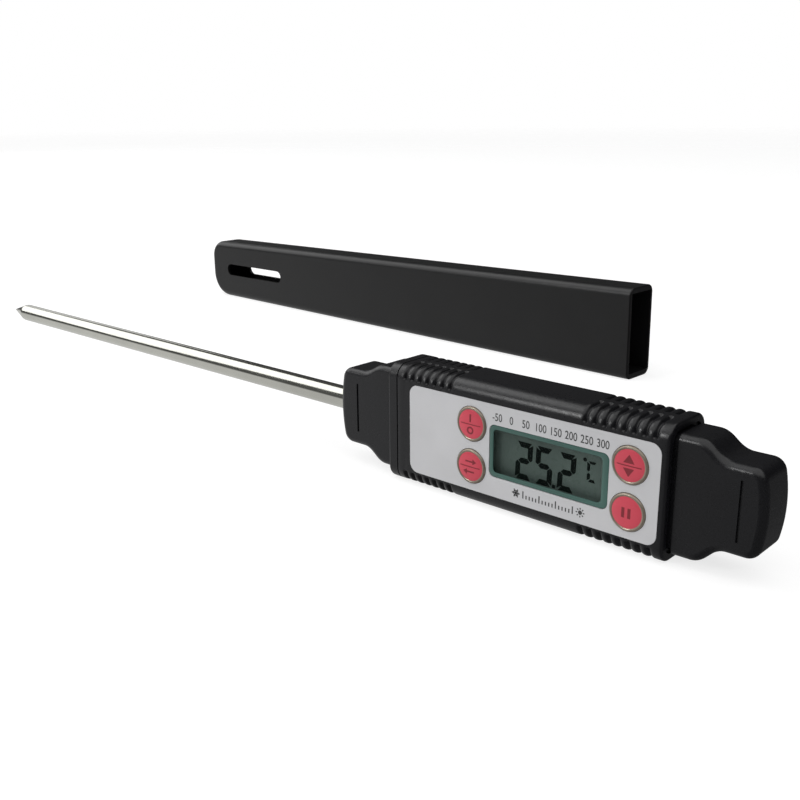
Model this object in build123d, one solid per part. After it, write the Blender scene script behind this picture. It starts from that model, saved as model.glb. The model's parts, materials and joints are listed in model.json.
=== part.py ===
from build123d import *
import math
import os

# Pen-type digital probe thermometer, in millimetres.
# Origin: on the probe's axis, at the end face of the nose that the probe comes out of.
# +X runs from the probe's tip to the tail, -Y is the way the display faces, +Z is up.
# The thermometer stands on a narrow long side, and its sheath stands beside it.

# Probe
PROBE_OD = 4.0
PROBE_WALL = 0.3
PROBE_EXPOSED = 122.8
PROBE_SEATED = 10.0
PROBE_SEATED_RADIUS = 1.8
PROBE_SEAT_GAP = 0.01
CONE_WALL = 0.6
TIP_LENGTH = 6.2
TIP_FLAT_RADIUS = 0.15

# Core profile that the nose and the tail share
CORE_THICKNESS = 7.5
NOSE_COLLAR = (-6.55, 7.0)
TAIL_COLLAR = (-6.1, 6.5)
NECK_HEIGHT = 17.5
SHOULDER_LENGTH = 5.2
COLLAR_BULGE = 0.9
COLLAR_CORNER = 2.0
CORE_EDGE = 1.1
NOSE_COLLAR_END = 5.2
NOSE_RIM_START = 12.8
TAIL_START = 63.9
TAIL_SHOULDER_START = 66.3
TAIL_END = 76.4
MARK_LENGTH = 8.6
MARK_RISE = 0.3
MARK_WIDTH = 0.4
MARK_DEPTH = 0.3
NOSE_MARK_X = 4.35
TAIL_MARK_X = 72.9

# Ribbed sleeve
SLEEVE_THICKNESS = 10.2
SLEEVE_HEIGHT = 20.0
SLEEVE_EDGE = 2.4
SLEEVE_START = 14.85
SLEEVE_END = 63.3
SLEEVE_WALL = 1.1
SLEEVE_END_ROUND = 0.4
CAVITY_CORNER = 1.4
RIM_END = 14.7
SPIGOT_CLEARANCE = 0.05
GROOVE_PITCH = 1.55
GROOVE_WIDTH = 0.8
GROOVE_DEPTH = 0.45
LEFT_GROOVES = 7
RIGHT_GROOVES = 8
LEFT_GROOVE_START = 16.55
RIGHT_GROOVE_START = 50.3
GROOVE_FACE_LIMIT = 7.9
GROOVE_MIDDLE_STRIP = 1.2

# Inside the nose
NOSE_SPIGOT_LENGTH = 4.0
POTTING_X = (7.0, 12.0)
POTTING_Y = (-2.9, 2.9)
POTTING_Z = (-5.2, 5.2)
TONGUE_END = 24.6
TONGUE_THICKNESS = 2.0
TONGUE_INNER_Z = 5.3
TONGUE_OUTER_Z = 8.2

# Inside the tail
TAIL_SPIGOT = (60.9, 62.9)
TAIL_THROAT_STEP = 0.9
TAIL_THROAT_CORNER = 1.2
CELL_BAY_GAP = 0.45

# Front panel
LABEL_CENTRE_X = 39.95
LABEL_CENTRE_Z = -0.1
LABEL_LENGTH = 44.7
LABEL_HEIGHT = 14.8
LABEL_CORNER = 1.6
LABEL_THICKNESS = 0.25
WINDOW_CENTRE_X = 44.15
WINDOW_CENTRE_Z = -0.06
WINDOW_LENGTH = 20.8
WINDOW_HEIGHT = 8.4
WINDOW_CORNER = 1.0
WINDOW_RIM = 0.7
WINDOW_STEP = 0.03
PANE_THICKNESS = 1.0
PANEL_GAP = 0.05

# Buttons and switches
BUTTONS = {
    "on_off": (30.35, 3.35),
    "unit": (30.35, -3.55),
    "max_min": (57.75, 3.35),
    "hold": (57.75, -3.55),
}
BUTTON_RADIUS = 2.8
BUTTON_HOLE_RADIUS = 2.87
BUTTON_PROUD = 0.25
BUTTON_DOME = 0.15
BUTTON_FLANGE_RADIUS = 3.05
BUTTON_FLANGE_THICKNESS = 0.5
BUTTON_BOSS_RADIUS = 1.2
SWITCH_SIDE = 4.4
SWITCH_THICKNESS = 1.3
PLUNGER_RADIUS = 1.0
PLUNGER_GAP = 0.08
PLUNGER_STAND = 0.6
PLUNGER_SEAT = 0.5
WELL_DEPTH = 1.0

# Display stack
BOARD_THICKNESS = 0.8
BOARD_START = 20.2
BOARD_END = 60.4
BOARD_HEIGHT = 16.8
LCD_LENGTH = 20.9
LCD_HEIGHT = 12.0
LCD_THICKNESS = 1.6
LCD_FRONT_Y = -3.9
HOLDER_HEIGHT = 15.6
STRIP_WIDTH = 1.4
STRIP_OFFSET = 5.2
STRIP_LENGTH = 19.0

# Board parts
BLOB_RADIUS = 4.0
BLOB_HEIGHT = 1.3
CRYSTAL_RADIUS = 0.95
CRYSTAL_LENGTH = 6.0
CHIP_LENGTH = 1.6
CHIP_WIDTH = 0.8
CHIP_HEIGHT = 0.45
CHIP_ROW_X = (26.0, 29.5, 33.0, 36.5, 51.0, 54.5)
CHIP_ROW_Z = 5.0
SCREW_X = 22.4
SCREW_Z = 6.6
SCREW_SHANK_RADIUS = 0.5
SCREW_HEAD_RADIUS = 1.0
SCREW_HEAD_HEIGHT = 0.6
SCREW_LENGTH = 2.2

# Thermistor
BEAD_RADIUS = 1.2
BEAD_X = -115.2
LEAD_RADIUS = 0.3
LEAD_SPACING = 1.1
LEAD_Y = 0.7

# Battery
CELL_RADIUS = 5.8
CELL_THICKNESS = 5.4
CELL_X = 69.2
CELL_GAP = 0.15
CONTACT_THICKNESS = 0.2
CONTACT_WIDTH = 2.0
CONTACT_REACH = 71.0
CONTACT_FOOT = (59.0, 60.2)

# Sheath
SHEATH_LENGTH = 157.4
SHEATH_MOUTH_HEIGHT = 20.9
SHEATH_END_HEIGHT = 17.2
SHEATH_THICKNESS = 9.3
SHEATH_WALL = 0.8
SHEATH_SIDE_WALL = 1.3
SHEATH_EDGE = 1.8
SHEATH_MOUTH_ROUND = 0.3
SHEATH_TOP_CORNER = 5.0
SHEATH_BOTTOM_CORNER = 7.0
SHEATH_END_WALL = 2.0
SHEATH_YAW = -2.2
SHEATH_MOUTH = (12.2, 73.5)
SLOT_LENGTH = 26.8
SLOT_HEIGHT = 3.5
SLOT_CENTRE = 135.6
SLOT_RISE = 0.1
SLOT_BACK_DROP = 0.8

BASE_Z = -SLEEVE_HEIGHT / 2
FRONT_Y = -SLEEVE_THICKNESS / 2
CAVITY_THICKNESS = SLEEVE_THICKNESS - 2 * SLEEVE_WALL
CAVITY_HEIGHT = SLEEVE_HEIGHT - 2 * SLEEVE_WALL
SPIGOT_THICKNESS = CAVITY_THICKNESS - 2 * SPIGOT_CLEARANCE
SPIGOT_HEIGHT = CAVITY_HEIGHT - 2 * SPIGOT_CLEARANCE
LABEL_BACK_Y = FRONT_Y + LABEL_THICKNESS
WALL_BACK_Y = FRONT_Y + SLEEVE_WALL
BOARD_FRONT_Y = -BOARD_THICKNESS / 2
BOARD_BACK_Y = BOARD_THICKNESS / 2
LCD_BACK_Y = LCD_FRONT_Y + LCD_THICKNESS
SWITCH_TOP_Y = BOARD_FRONT_Y - SWITCH_THICKNESS
PLUNGER_TOP_Y = SWITCH_TOP_Y - PLUNGER_STAND
FLANGE_BACK_Y = WALL_BACK_Y + PANEL_GAP + BUTTON_FLANGE_THICKNESS


def bar(x_range, y_range, z_range):
    """A plain block between the given lowest and highest coordinates."""
    size = [high - low for low, high in (x_range, y_range, z_range)]
    middle = [(high + low) / 2 for low, high in (x_range, y_range, z_range)]
    return Pos(*middle) * Box(*size)


def rod_x(radius, x_range, y=0.0, z=0.0):
    """A round bar along X."""
    length = x_range[1] - x_range[0]
    return Pos((x_range[0] + x_range[1]) / 2, y, z) * Rot(0, 90, 0) * Cylinder(radius, length)


def rod_y(radius, y_range, x, z):
    """A round bar along Y."""
    length = y_range[1] - y_range[0]
    return Pos(x, (y_range[0] + y_range[1]) / 2, z) * Rot(90, 0, 0) * Cylinder(radius, length)


def rounded_bar(x_range, thickness, height, corner):
    """A bar along X whose section is a rectangle with round corners."""
    section = Plane.YZ.offset(x_range[0]) * RectangleRounded(thickness, height, corner)
    return extrude(section, amount=x_range[1] - x_range[0])


def panel(x_centre, length, height, corner, y_range):
    """A plate that faces -Y, with round corners."""
    face = Plane.XZ.offset(-y_range[1]) * Pos(x_centre, 0) * RectangleRounded(length, height, corner)
    return extrude(face, amount=y_range[1] - y_range[0])


def end_edges(solid, x):
    """The edges of a bar's end face at X = x."""
    return solid.edges().filter_by_position(Axis.X, x - 0.01, x + 0.01)


def core_profile(collar, end_x, collar_x, neck_x, open_x):
    """The outline that nose and tail share, from a bulging collar end to a square open end.

    It is drawn in the XZ plane, and it runs towards +X or -X as the four places say.
    """
    way = 1 if open_x > end_x else -1
    low, high = collar
    neck = NECK_HEIGHT / 2
    corner_x = end_x + way * COLLAR_BULGE
    with BuildSketch(Plane.XZ) as outline:
        with BuildLine():
            ThreePointArc((corner_x, low), (end_x, (low + high) / 2), (corner_x, high))
            Line((corner_x, high), (collar_x, high))
            Spline((collar_x, high), (neck_x, neck), tangents=((way, 0), (way, 0)))
            Polyline((neck_x, neck), (open_x, neck), (open_x, -neck), (neck_x, -neck))
            Spline((neck_x, -neck), (collar_x, low), tangents=((-way, 0), (-way, 0)))
            Line((collar_x, low), (corner_x, low))
        make_face()
        corners = [v for v in outline.vertices() if abs(v.X - corner_x) < 0.01]
        fillet(corners, COLLAR_CORNER)
    return outline.sketch


def core_body(collar, end_x, collar_x, neck_x, open_x):
    """The shared outline given its thickness, with its long edges rounded."""
    profile = core_profile(collar, end_x, collar_x, neck_x, open_x)
    solid = extrude(profile, CORE_THICKNESS / 2, both=True)
    long_edges = [
        e
        for e in solid.edges()
        if abs(abs(e.center().Y) - CORE_THICKNESS / 2) < 0.01 and abs(e.center().X - open_x) > 0.01
    ]
    return fillet(long_edges, CORE_EDGE)


def mark(x):
    """The fine line moulded into the front face of the nose and the tail."""
    face_y = -CORE_THICKNESS / 2
    z_range = (MARK_RISE - MARK_LENGTH / 2, MARK_RISE + MARK_LENGTH / 2)
    return bar((x - MARK_WIDTH / 2, x + MARK_WIDTH / 2), (face_y - 1, face_y + MARK_DEPTH), z_range)


def lead_rods(x_range):
    """The two insulated wires that run from the bead to the board."""
    return [rod_x(LEAD_RADIUS, x_range, LEAD_Y, side * LEAD_SPACING / 2) for side in (-1, 1)]


def probe_tube():
    """Thin steel tube, closed at its pointed tip, with its seated end drawn down to fit the nose."""
    outer, inner = PROBE_OD / 2, PROBE_OD / 2 - PROBE_WALL
    seated_inner = PROBE_SEATED_RADIUS - PROBE_WALL
    tip_x, shoulder_x = -PROBE_EXPOSED, -PROBE_EXPOSED + TIP_LENGTH
    with BuildSketch(Plane.XY) as half:
        with BuildLine():
            Polyline(
                (tip_x, 0),
                (tip_x, TIP_FLAT_RADIUS),
                (shoulder_x, outer),
                (0, outer),
                (0, PROBE_SEATED_RADIUS),
                (PROBE_SEATED, PROBE_SEATED_RADIUS),
                (PROBE_SEATED, seated_inner),
                (-PROBE_WALL, seated_inner),
                (-PROBE_WALL, inner),
                (shoulder_x, inner),
                (tip_x + 2 * CONE_WALL, 0),
                (tip_x, 0),
            )
        make_face()
    return revolve(half.sketch, Axis.X)


def nose_piece():
    """Collar, shoulders, neck and rim, with a spigot and a tongue that carry sleeve and board."""
    spigot_end = SLEEVE_START + NOSE_SPIGOT_LENGTH
    neck_x = NOSE_COLLAR_END + SHOULDER_LENGTH
    solid = core_body(NOSE_COLLAR, 0, NOSE_COLLAR_END, neck_x, NOSE_RIM_START)
    rim = rounded_bar((NOSE_RIM_START, RIM_END), SLEEVE_THICKNESS, SLEEVE_HEIGHT, SLEEVE_EDGE)
    solid += fillet(end_edges(rim, NOSE_RIM_START), SLEEVE_END_ROUND)
    solid += rounded_bar((RIM_END, spigot_end), SPIGOT_THICKNESS, SPIGOT_HEIGHT, CAVITY_CORNER)
    solid -= rod_x(PROBE_SEATED_RADIUS + PROBE_SEAT_GAP, (-1, POTTING_X[0] + 1))
    solid -= bar((POTTING_X[0], spigot_end + 1), POTTING_Y, POTTING_Z)
    tongue_x = (spigot_end - 1, TONGUE_END)
    tongue_back_y = BOARD_BACK_Y + TONGUE_THICKNESS
    for side in (-1, 1):
        tongue_z = sorted((side * TONGUE_INNER_Z, side * TONGUE_OUTER_Z))
        solid += bar(tongue_x, (BOARD_BACK_Y, tongue_back_y), tongue_z)
        solid -= rod_y(SCREW_SHANK_RADIUS + 0.01, (0, tongue_back_y + 0.5), SCREW_X, side * SCREW_Z)
    return solid - mark(NOSE_MARK_X)


def potting_plug():
    """Resin that fills the nose behind the probe and holds tube and leads."""
    solid = bar(POTTING_X, POTTING_Y, POTTING_Z)
    solid -= rod_x(PROBE_SEATED_RADIUS, (POTTING_X[0] - 1, PROBE_SEATED))
    for lead in lead_rods((POTTING_X[0] - 1, POTTING_X[1] + 1)):
        solid -= lead
    return solid


def groove_ring(x):
    """One grip groove: it wraps the four long edges and leaves the faces and a middle strip whole."""
    x_range = (x - GROOVE_WIDTH / 2, x + GROOVE_WIDTH / 2)
    floor_thickness, floor_height = SLEEVE_THICKNESS - 2 * GROOVE_DEPTH, SLEEVE_HEIGHT - 2 * GROOVE_DEPTH
    outer = rounded_bar(x_range, SLEEVE_THICKNESS + 1, SLEEVE_HEIGHT + 1, SLEEVE_EDGE)
    inner = rounded_bar(x_range, floor_thickness, floor_height, SLEEVE_EDGE - GROOVE_DEPTH)
    wide, strip = (x - GROOVE_WIDTH, x + GROOVE_WIDTH), GROOVE_MIDDLE_STRIP / 2
    faces = bar(wide, (-SLEEVE_THICKNESS, SLEEVE_THICKNESS), (-GROOVE_FACE_LIMIT, GROOVE_FACE_LIMIT))
    middle = bar(wide, (-strip, strip), (-SLEEVE_HEIGHT, SLEEVE_HEIGHT))
    return outer - inner - faces - middle


def label_outline(growth, y_range):
    """The label's outline through the given depth, wider and taller by growth."""
    length, height = LABEL_LENGTH + growth, LABEL_HEIGHT + growth
    return Pos(0, 0, LABEL_CENTRE_Z) * panel(LABEL_CENTRE_X, length, height, LABEL_CORNER, y_range)


def window_outline(inset, corner, y_range):
    """The window's outline through the given depth, smaller by inset on each side."""
    length, height = WINDOW_LENGTH - 2 * inset, WINDOW_HEIGHT - 2 * inset
    return Pos(0, 0, WINDOW_CENTRE_Z) * panel(WINDOW_CENTRE_X, length, height, corner, y_range)


def housing_sleeve():
    """Ribbed tube that closes over the electronics, with its front cut for label, window and buttons."""
    solid = rounded_bar((SLEEVE_START, SLEEVE_END), SLEEVE_THICKNESS, SLEEVE_HEIGHT, SLEEVE_EDGE)
    solid = fillet(end_edges(solid, SLEEVE_END), SLEEVE_END_ROUND)
    cavity_x = (SLEEVE_START - 1, SLEEVE_END + 1)
    solid -= rounded_bar(cavity_x, CAVITY_THICKNESS, CAVITY_HEIGHT, CAVITY_CORNER)
    for count, start in ((LEFT_GROOVES, LEFT_GROOVE_START), (RIGHT_GROOVES, RIGHT_GROOVE_START)):
        for turn in range(count):
            solid -= groove_ring(start + turn * GROOVE_PITCH)
    through_y = (FRONT_Y - 1, WALL_BACK_Y + 1)
    solid -= label_outline(PANEL_GAP, (FRONT_Y - 1, LABEL_BACK_Y))
    solid -= window_outline(0, WINDOW_CORNER, through_y)
    for x, z in BUTTONS.values():
        solid -= rod_y(BUTTON_HOLE_RADIUS, through_y, x, z)
    return solid


def label_panel():
    """Printed metal label that lies flush in the front recess."""
    solid = label_outline(0, (FRONT_Y, LABEL_BACK_Y))
    solid -= window_outline(0, WINDOW_CORNER, (FRONT_Y - 1, 0))
    for x, z in BUTTONS.values():
        solid -= rod_y(BUTTON_HOLE_RADIUS, (FRONT_Y - 1, 0), x, z)
    return solid


def window_lens():
    """Clear pane in a tinted rim that fills the front opening."""
    solid = window_outline(PANEL_GAP, WINDOW_CORNER, (FRONT_Y + WINDOW_STEP, WALL_BACK_Y))
    recess_y = (FRONT_Y - 1, WALL_BACK_Y - PANE_THICKNESS)
    return solid - window_outline(PANEL_GAP + WINDOW_RIM, WINDOW_CORNER - WINDOW_RIM / 2, recess_y)


def lcd_glass():
    """Two-ply display glass behind the window."""
    half = LCD_LENGTH / 2
    x_range = (WINDOW_CENTRE_X - half, WINDOW_CENTRE_X + half)
    return bar(x_range, (LCD_FRONT_Y, LCD_BACK_Y), (-LCD_HEIGHT / 2, LCD_HEIGHT / 2))


def strip_blocks(clearance):
    """The two places where the display's rubber connectors stand, grown by a clearance."""
    half_length, half_width = STRIP_LENGTH / 2 + clearance, STRIP_WIDTH / 2 + clearance
    x_range = (WINDOW_CENTRE_X - half_length, WINDOW_CENTRE_X + half_length)
    blocks = []
    for centre_z in (-STRIP_OFFSET, STRIP_OFFSET):
        z_range = (centre_z - half_width, centre_z + half_width)
        blocks.append(bar(x_range, (LCD_BACK_Y, BOARD_FRONT_Y), z_range))
    return blocks


def lcd_holder():
    """Tray on the board that locates the display glass and the connector strips."""
    half = LCD_LENGTH / 2
    x_range = (WINDOW_CENTRE_X - half, WINDOW_CENTRE_X + half)
    solid = bar(x_range, (LCD_FRONT_Y, BOARD_FRONT_Y), (-HOLDER_HEIGHT / 2, HOLDER_HEIGHT / 2))
    pocket = LCD_HEIGHT / 2 + PANEL_GAP
    solid -= bar((x_range[0] - 1, x_range[1] + 1), (LCD_FRONT_Y - 1, LCD_BACK_Y), (-pocket, pocket))
    for block in strip_blocks(PANEL_GAP):
        solid -= block
    lightening = bar((x_range[0] + 2, x_range[1] - 2), (LCD_BACK_Y - 1, BOARD_FRONT_Y + 1), (-3.4, 3.4))
    return solid - lightening


def circuit_board():
    """Board that carries display, switches, chip and battery contacts."""
    solid = bar(
        (BOARD_START, BOARD_END), (BOARD_FRONT_Y, BOARD_BACK_Y), (-BOARD_HEIGHT / 2, BOARD_HEIGHT / 2)
    )
    for side in (-1, 1):
        solid -= rod_y(SCREW_SHANK_RADIUS + 0.05, (-2, 2), SCREW_X, side * SCREW_Z)
    return solid


def board_screws():
    """Two screws that hold the board to the nose's tongue."""
    screws = []
    for side in (-1, 1):
        head_y = (BOARD_FRONT_Y - SCREW_HEAD_HEIGHT, BOARD_FRONT_Y)
        shank_y = (BOARD_FRONT_Y, BOARD_FRONT_Y + SCREW_LENGTH)
        screw = rod_y(SCREW_HEAD_RADIUS, head_y, SCREW_X, side * SCREW_Z)
        screw += rod_y(SCREW_SHANK_RADIUS, shank_y, SCREW_X, side * SCREW_Z)
        slot_z = (side * SCREW_Z - 0.12, side * SCREW_Z + 0.12)
        screw -= bar((SCREW_X - 2, SCREW_X + 2), (head_y[0] - 1, head_y[0] + 0.25), slot_z)
        screws.append(screw)
    return screws


def chip_blob():
    """Low dome of resin over the bare chip, on the board's back."""
    ball_radius = (BLOB_RADIUS**2 + BLOB_HEIGHT**2) / (2 * BLOB_HEIGHT)
    ball = Pos(WINDOW_CENTRE_X, BOARD_BACK_Y + BLOB_HEIGHT - ball_radius, 0) * Sphere(ball_radius)
    reach = 2 * ball_radius
    x_range = (WINDOW_CENTRE_X - reach, WINDOW_CENTRE_X + reach)
    return ball & bar(x_range, (BOARD_BACK_Y, reach), (-reach, reach))


def chip_components():
    """Resistors and capacitors in a row on the board's back."""
    z_range = (CHIP_ROW_Z - CHIP_WIDTH / 2, CHIP_ROW_Z + CHIP_WIDTH / 2)
    y_range = (BOARD_BACK_Y, BOARD_BACK_Y + CHIP_HEIGHT)
    return [bar((x - CHIP_LENGTH / 2, x + CHIP_LENGTH / 2), y_range, z_range) for x in CHIP_ROW_X]


def crystal_can():
    """Timing crystal, lying on the board's back."""
    x_range = (WINDOW_CENTRE_X - CRYSTAL_LENGTH / 2, WINDOW_CENTRE_X + CRYSTAL_LENGTH / 2)
    return rod_x(CRYSTAL_RADIUS, x_range, BOARD_BACK_Y + CRYSTAL_RADIUS, -6.6)


def button_cap(x, z):
    """Domed key: it stands a little proud of the label, and a flange behind the wall keeps it in."""
    dome_rise = BUTTON_DOME
    shoulder_y = FRONT_Y - BUTTON_PROUD
    ball_radius = (BUTTON_RADIUS**2 + dome_rise**2) / (2 * dome_rise)
    dome = Pos(x, shoulder_y - dome_rise + ball_radius, z) * Sphere(ball_radius)
    dome &= rod_y(BUTTON_RADIUS, (shoulder_y - dome_rise - 1, shoulder_y), x, z)
    flange_front_y = WALL_BACK_Y + PANEL_GAP
    solid = dome + rod_y(BUTTON_RADIUS, (shoulder_y, flange_front_y), x, z)
    solid += rod_y(BUTTON_FLANGE_RADIUS, (flange_front_y, FLANGE_BACK_Y), x, z)
    return solid + rod_y(BUTTON_BOSS_RADIUS, (FLANGE_BACK_Y, PLUNGER_TOP_Y), x, z)


def switch_plunger(x, z):
    """Small post that the key presses into its switch."""
    return rod_y(PLUNGER_RADIUS, (PLUNGER_TOP_Y, SWITCH_TOP_Y + PLUNGER_SEAT), x, z)


def switch_body(x, z):
    """Tactile switch on the board's front, with a well for its plunger."""
    half = SWITCH_SIDE / 2
    solid = bar((x - half, x + half), (SWITCH_TOP_Y, BOARD_FRONT_Y), (z - half, z + half))
    well_y = (SWITCH_TOP_Y - 1, SWITCH_TOP_Y + WELL_DEPTH)
    return solid - rod_y(PLUNGER_RADIUS + PLUNGER_GAP, well_y, x, z)


def battery_contact(side):
    """Spring strip from the board to one face of the cell: side -1 is in front, 1 behind."""
    board_y = side * BOARD_BACK_Y
    inner_y = side * (CELL_THICKNESS / 2 + 0.05)
    outer_y = inner_y + side * CONTACT_THICKNESS
    foot_start, foot_end = CONTACT_FOOT
    foot_y = board_y + side * CONTACT_THICKNESS
    with BuildSketch(Plane.XY) as strip:
        with BuildLine():
            Polyline(
                (foot_start, board_y),
                (foot_end, board_y),
                (foot_end, inner_y),
                (CONTACT_REACH, inner_y),
                (CONTACT_REACH, outer_y),
                (foot_end - CONTACT_THICKNESS, outer_y),
                (foot_end - CONTACT_THICKNESS, foot_y),
                (foot_start, foot_y),
                (foot_start, board_y),
            )
        make_face()
    return extrude(strip.sketch, CONTACT_WIDTH / 2, both=True)


def button_cell():
    """Alkaline button cell, with its negative cap towards the front."""
    cap_rise = 0.5
    half = CELL_THICKNESS / 2
    can = rod_y(CELL_RADIUS, (-half + cap_rise, half), CELL_X, 0)
    return can + rod_y(CELL_RADIUS - 1.0, (-half, -half + cap_rise), CELL_X, 0)


def tail_cap():
    """Hollow end cap that holds the cell and plugs into the sleeve."""
    collar_x = TAIL_SHOULDER_START + SHOULDER_LENGTH
    solid = core_body(TAIL_COLLAR, TAIL_END, collar_x, TAIL_SHOULDER_START, TAIL_START)
    solid += rounded_bar(TAIL_SPIGOT, SPIGOT_THICKNESS, SPIGOT_HEIGHT, CAVITY_CORNER)
    throat_thickness, throat_height = SPIGOT_THICKNESS - TAIL_THROAT_STEP, SPIGOT_HEIGHT - TAIL_THROAT_STEP
    solid += rounded_bar((TAIL_SPIGOT[1], TAIL_START), throat_thickness, throat_height, TAIL_THROAT_CORNER)
    bay_radius = CELL_RADIUS + CELL_GAP
    bay_half = CELL_THICKNESS / 2 + CELL_BAY_GAP
    solid -= rod_y(bay_radius, (-bay_half, bay_half), CELL_X, 0)
    solid -= bar((TAIL_SPIGOT[0] - 1, CELL_X), (-bay_half, bay_half), (-bay_radius, bay_radius))
    return solid - mark(TAIL_MARK_X)


def sheath_block(length, mouth_height, end_height, thickness, top_corner, bottom_corner):
    """A tapered block from its mouth at X = 0 to its closed end, round at the closed end's corners."""
    with BuildSketch(Plane.XZ) as side:
        with BuildLine():
            Polyline(
                (0, -mouth_height / 2),
                (0, mouth_height / 2),
                (-length, end_height / 2),
                (-length, -end_height / 2),
                (0, -mouth_height / 2),
            )
        make_face()
        fillet([v for v in side.vertices() if v.X < -length / 2 and v.Y > 0], top_corner)
        fillet([v for v in side.vertices() if v.X < -length / 2 and v.Y < 0], bottom_corner)
    return extrude(side.sketch, thickness / 2, both=True)


def sheath_local():
    """The sheath about its own centre line, with its mouth at X = 0."""
    outer = sheath_block(
        SHEATH_LENGTH,
        SHEATH_MOUTH_HEIGHT,
        SHEATH_END_HEIGHT,
        SHEATH_THICKNESS,
        SHEATH_TOP_CORNER,
        SHEATH_BOTTOM_CORNER,
    )
    face_edges = [e for e in outer.edges() if abs(abs(e.center().Y) - SHEATH_THICKNESS / 2) < 0.01]
    outer = fillet([e for e in face_edges if e.center().X < -0.01], SHEATH_EDGE)
    outer = fillet(end_edges(outer, 0), SHEATH_MOUTH_ROUND)
    hollow = sheath_block(
        SHEATH_LENGTH - SHEATH_END_WALL,
        SHEATH_MOUTH_HEIGHT - 2 * SHEATH_SIDE_WALL,
        SHEATH_END_HEIGHT - 2 * SHEATH_SIDE_WALL,
        SHEATH_THICKNESS - 2 * SHEATH_WALL,
        SHEATH_TOP_CORNER - SHEATH_SIDE_WALL,
        SHEATH_BOTTOM_CORNER - SHEATH_SIDE_WALL,
    )
    reach = SHEATH_THICKNESS
    back_height = SLOT_HEIGHT + SLOT_BACK_DROP
    front_slot = panel(-SLOT_CENTRE, SLOT_LENGTH, SLOT_HEIGHT, SLOT_HEIGHT / 2 - 0.05, (-reach, 0))
    back_slot = panel(-SLOT_CENTRE, SLOT_LENGTH, back_height, back_height / 2 - 0.05, (0, reach))
    solid = outer - hollow - Pos(0, 0, SLOT_RISE) * front_slot
    return solid - Pos(0, 0, SLOT_RISE - SLOT_BACK_DROP / 2) * back_slot


def sheath_place():
    """Where the sheath stands: its lower side flat on the surface, turned a little, beside the body."""
    taper = math.degrees(math.atan((SHEATH_MOUTH_HEIGHT - SHEATH_END_HEIGHT) / 2 / SHEATH_LENGTH))
    drop = SHEATH_MOUTH_HEIGHT / 2 * math.cos(math.radians(taper))
    mouth_x, front_y = SHEATH_MOUTH
    mouth = Pos(mouth_x, front_y, BASE_Z + drop) * Rot(0, 0, SHEATH_YAW)
    return mouth * Pos(0, SHEATH_THICKNESS / 2, 0) * Rot(0, -taper, 0)


def sheath():
    """The pull-off sheath, standing behind the thermometer."""
    return sheath_place() * sheath_local()


def bead():
    """Thermistor bead near the tip, moulded round the ends of its leads."""
    solid = Pos(BEAD_X, LEAD_Y / 2, 0) * Sphere(BEAD_RADIUS)
    for lead in lead_rods((BEAD_X, BEAD_X + 5)):
        solid -= lead
    return solid


def nodes():
    """Every piece by its name; a list is a group of separate solids."""
    made = {
        "probe_tube": probe_tube(),
        "nose_piece": nose_piece(),
        "potting_plug": potting_plug(),
        "thermistor_bead": bead(),
        "thermistor_leads": lead_rods((BEAD_X, BOARD_START + 2.5)),
        "housing_sleeve": housing_sleeve(),
        "label_panel": label_panel(),
        "window_lens": window_lens(),
        "lcd_glass": lcd_glass(),
        "lcd_holder": lcd_holder(),
        "connector_strips": strip_blocks(0),
        "circuit_board": circuit_board(),
        "board_screws": board_screws(),
        "chip_blob": chip_blob(),
        "chip_components": chip_components(),
        "crystal_can": crystal_can(),
        "negative_contact": battery_contact(-1),
        "positive_contact": battery_contact(1),
        "button_cell": button_cell(),
        "tail_cap": tail_cap(),
        "sheath": sheath(),
    }
    for name, (x, z) in BUTTONS.items():
        made[f"{name}_button"] = button_cap(x, z)
        made[f"{name}_plunger"] = switch_plunger(x, z)
        made[f"{name}_switch"] = switch_body(x, z)
    return made


def write_parts(made):
    """One STEP file for each node."""
    os.makedirs("parts", exist_ok=True)
    for name, shape in made.items():
        whole = Compound(children=shape) if isinstance(shape, list) else shape
        export_step(whole, f"parts/{name}.step")


write_parts(nodes())
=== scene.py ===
"""Pen-type digital probe thermometer with its pull-off sheath beside it, in a plain studio."""

import json
import math

import bmesh
import bpy
from mathutils import Matrix, Vector

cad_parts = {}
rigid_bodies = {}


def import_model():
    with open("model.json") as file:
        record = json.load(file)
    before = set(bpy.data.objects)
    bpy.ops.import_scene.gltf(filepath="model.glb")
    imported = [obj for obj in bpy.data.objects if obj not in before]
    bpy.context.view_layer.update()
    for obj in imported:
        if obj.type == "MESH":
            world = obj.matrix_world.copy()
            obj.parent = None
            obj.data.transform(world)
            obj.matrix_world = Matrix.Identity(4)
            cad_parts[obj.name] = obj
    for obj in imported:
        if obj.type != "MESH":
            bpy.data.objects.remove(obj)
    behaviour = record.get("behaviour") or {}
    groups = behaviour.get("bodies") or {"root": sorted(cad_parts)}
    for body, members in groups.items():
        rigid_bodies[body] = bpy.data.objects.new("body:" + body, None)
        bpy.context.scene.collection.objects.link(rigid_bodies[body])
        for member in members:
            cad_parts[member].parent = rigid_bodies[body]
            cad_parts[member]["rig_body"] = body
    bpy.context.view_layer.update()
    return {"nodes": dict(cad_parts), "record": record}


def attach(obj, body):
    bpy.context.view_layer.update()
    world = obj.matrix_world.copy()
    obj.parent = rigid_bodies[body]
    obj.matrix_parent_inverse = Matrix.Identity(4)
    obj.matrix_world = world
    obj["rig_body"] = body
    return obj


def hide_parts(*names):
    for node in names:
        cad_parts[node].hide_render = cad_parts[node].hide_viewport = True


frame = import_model()

MM = 0.001

# Camera: place in millimetres, angles in degrees
CAMERA_PLACE = (120.81, -119.96, 51.45)
CAMERA_AZIMUTH = 42.53
CAMERA_ELEVATION = 16.86
CAMERA_ROLL = -0.49
CAMERA_LENS = 45.0
CAMERA_SENSOR = 36.0
CAMERA_NEAR_M = 0.01

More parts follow.
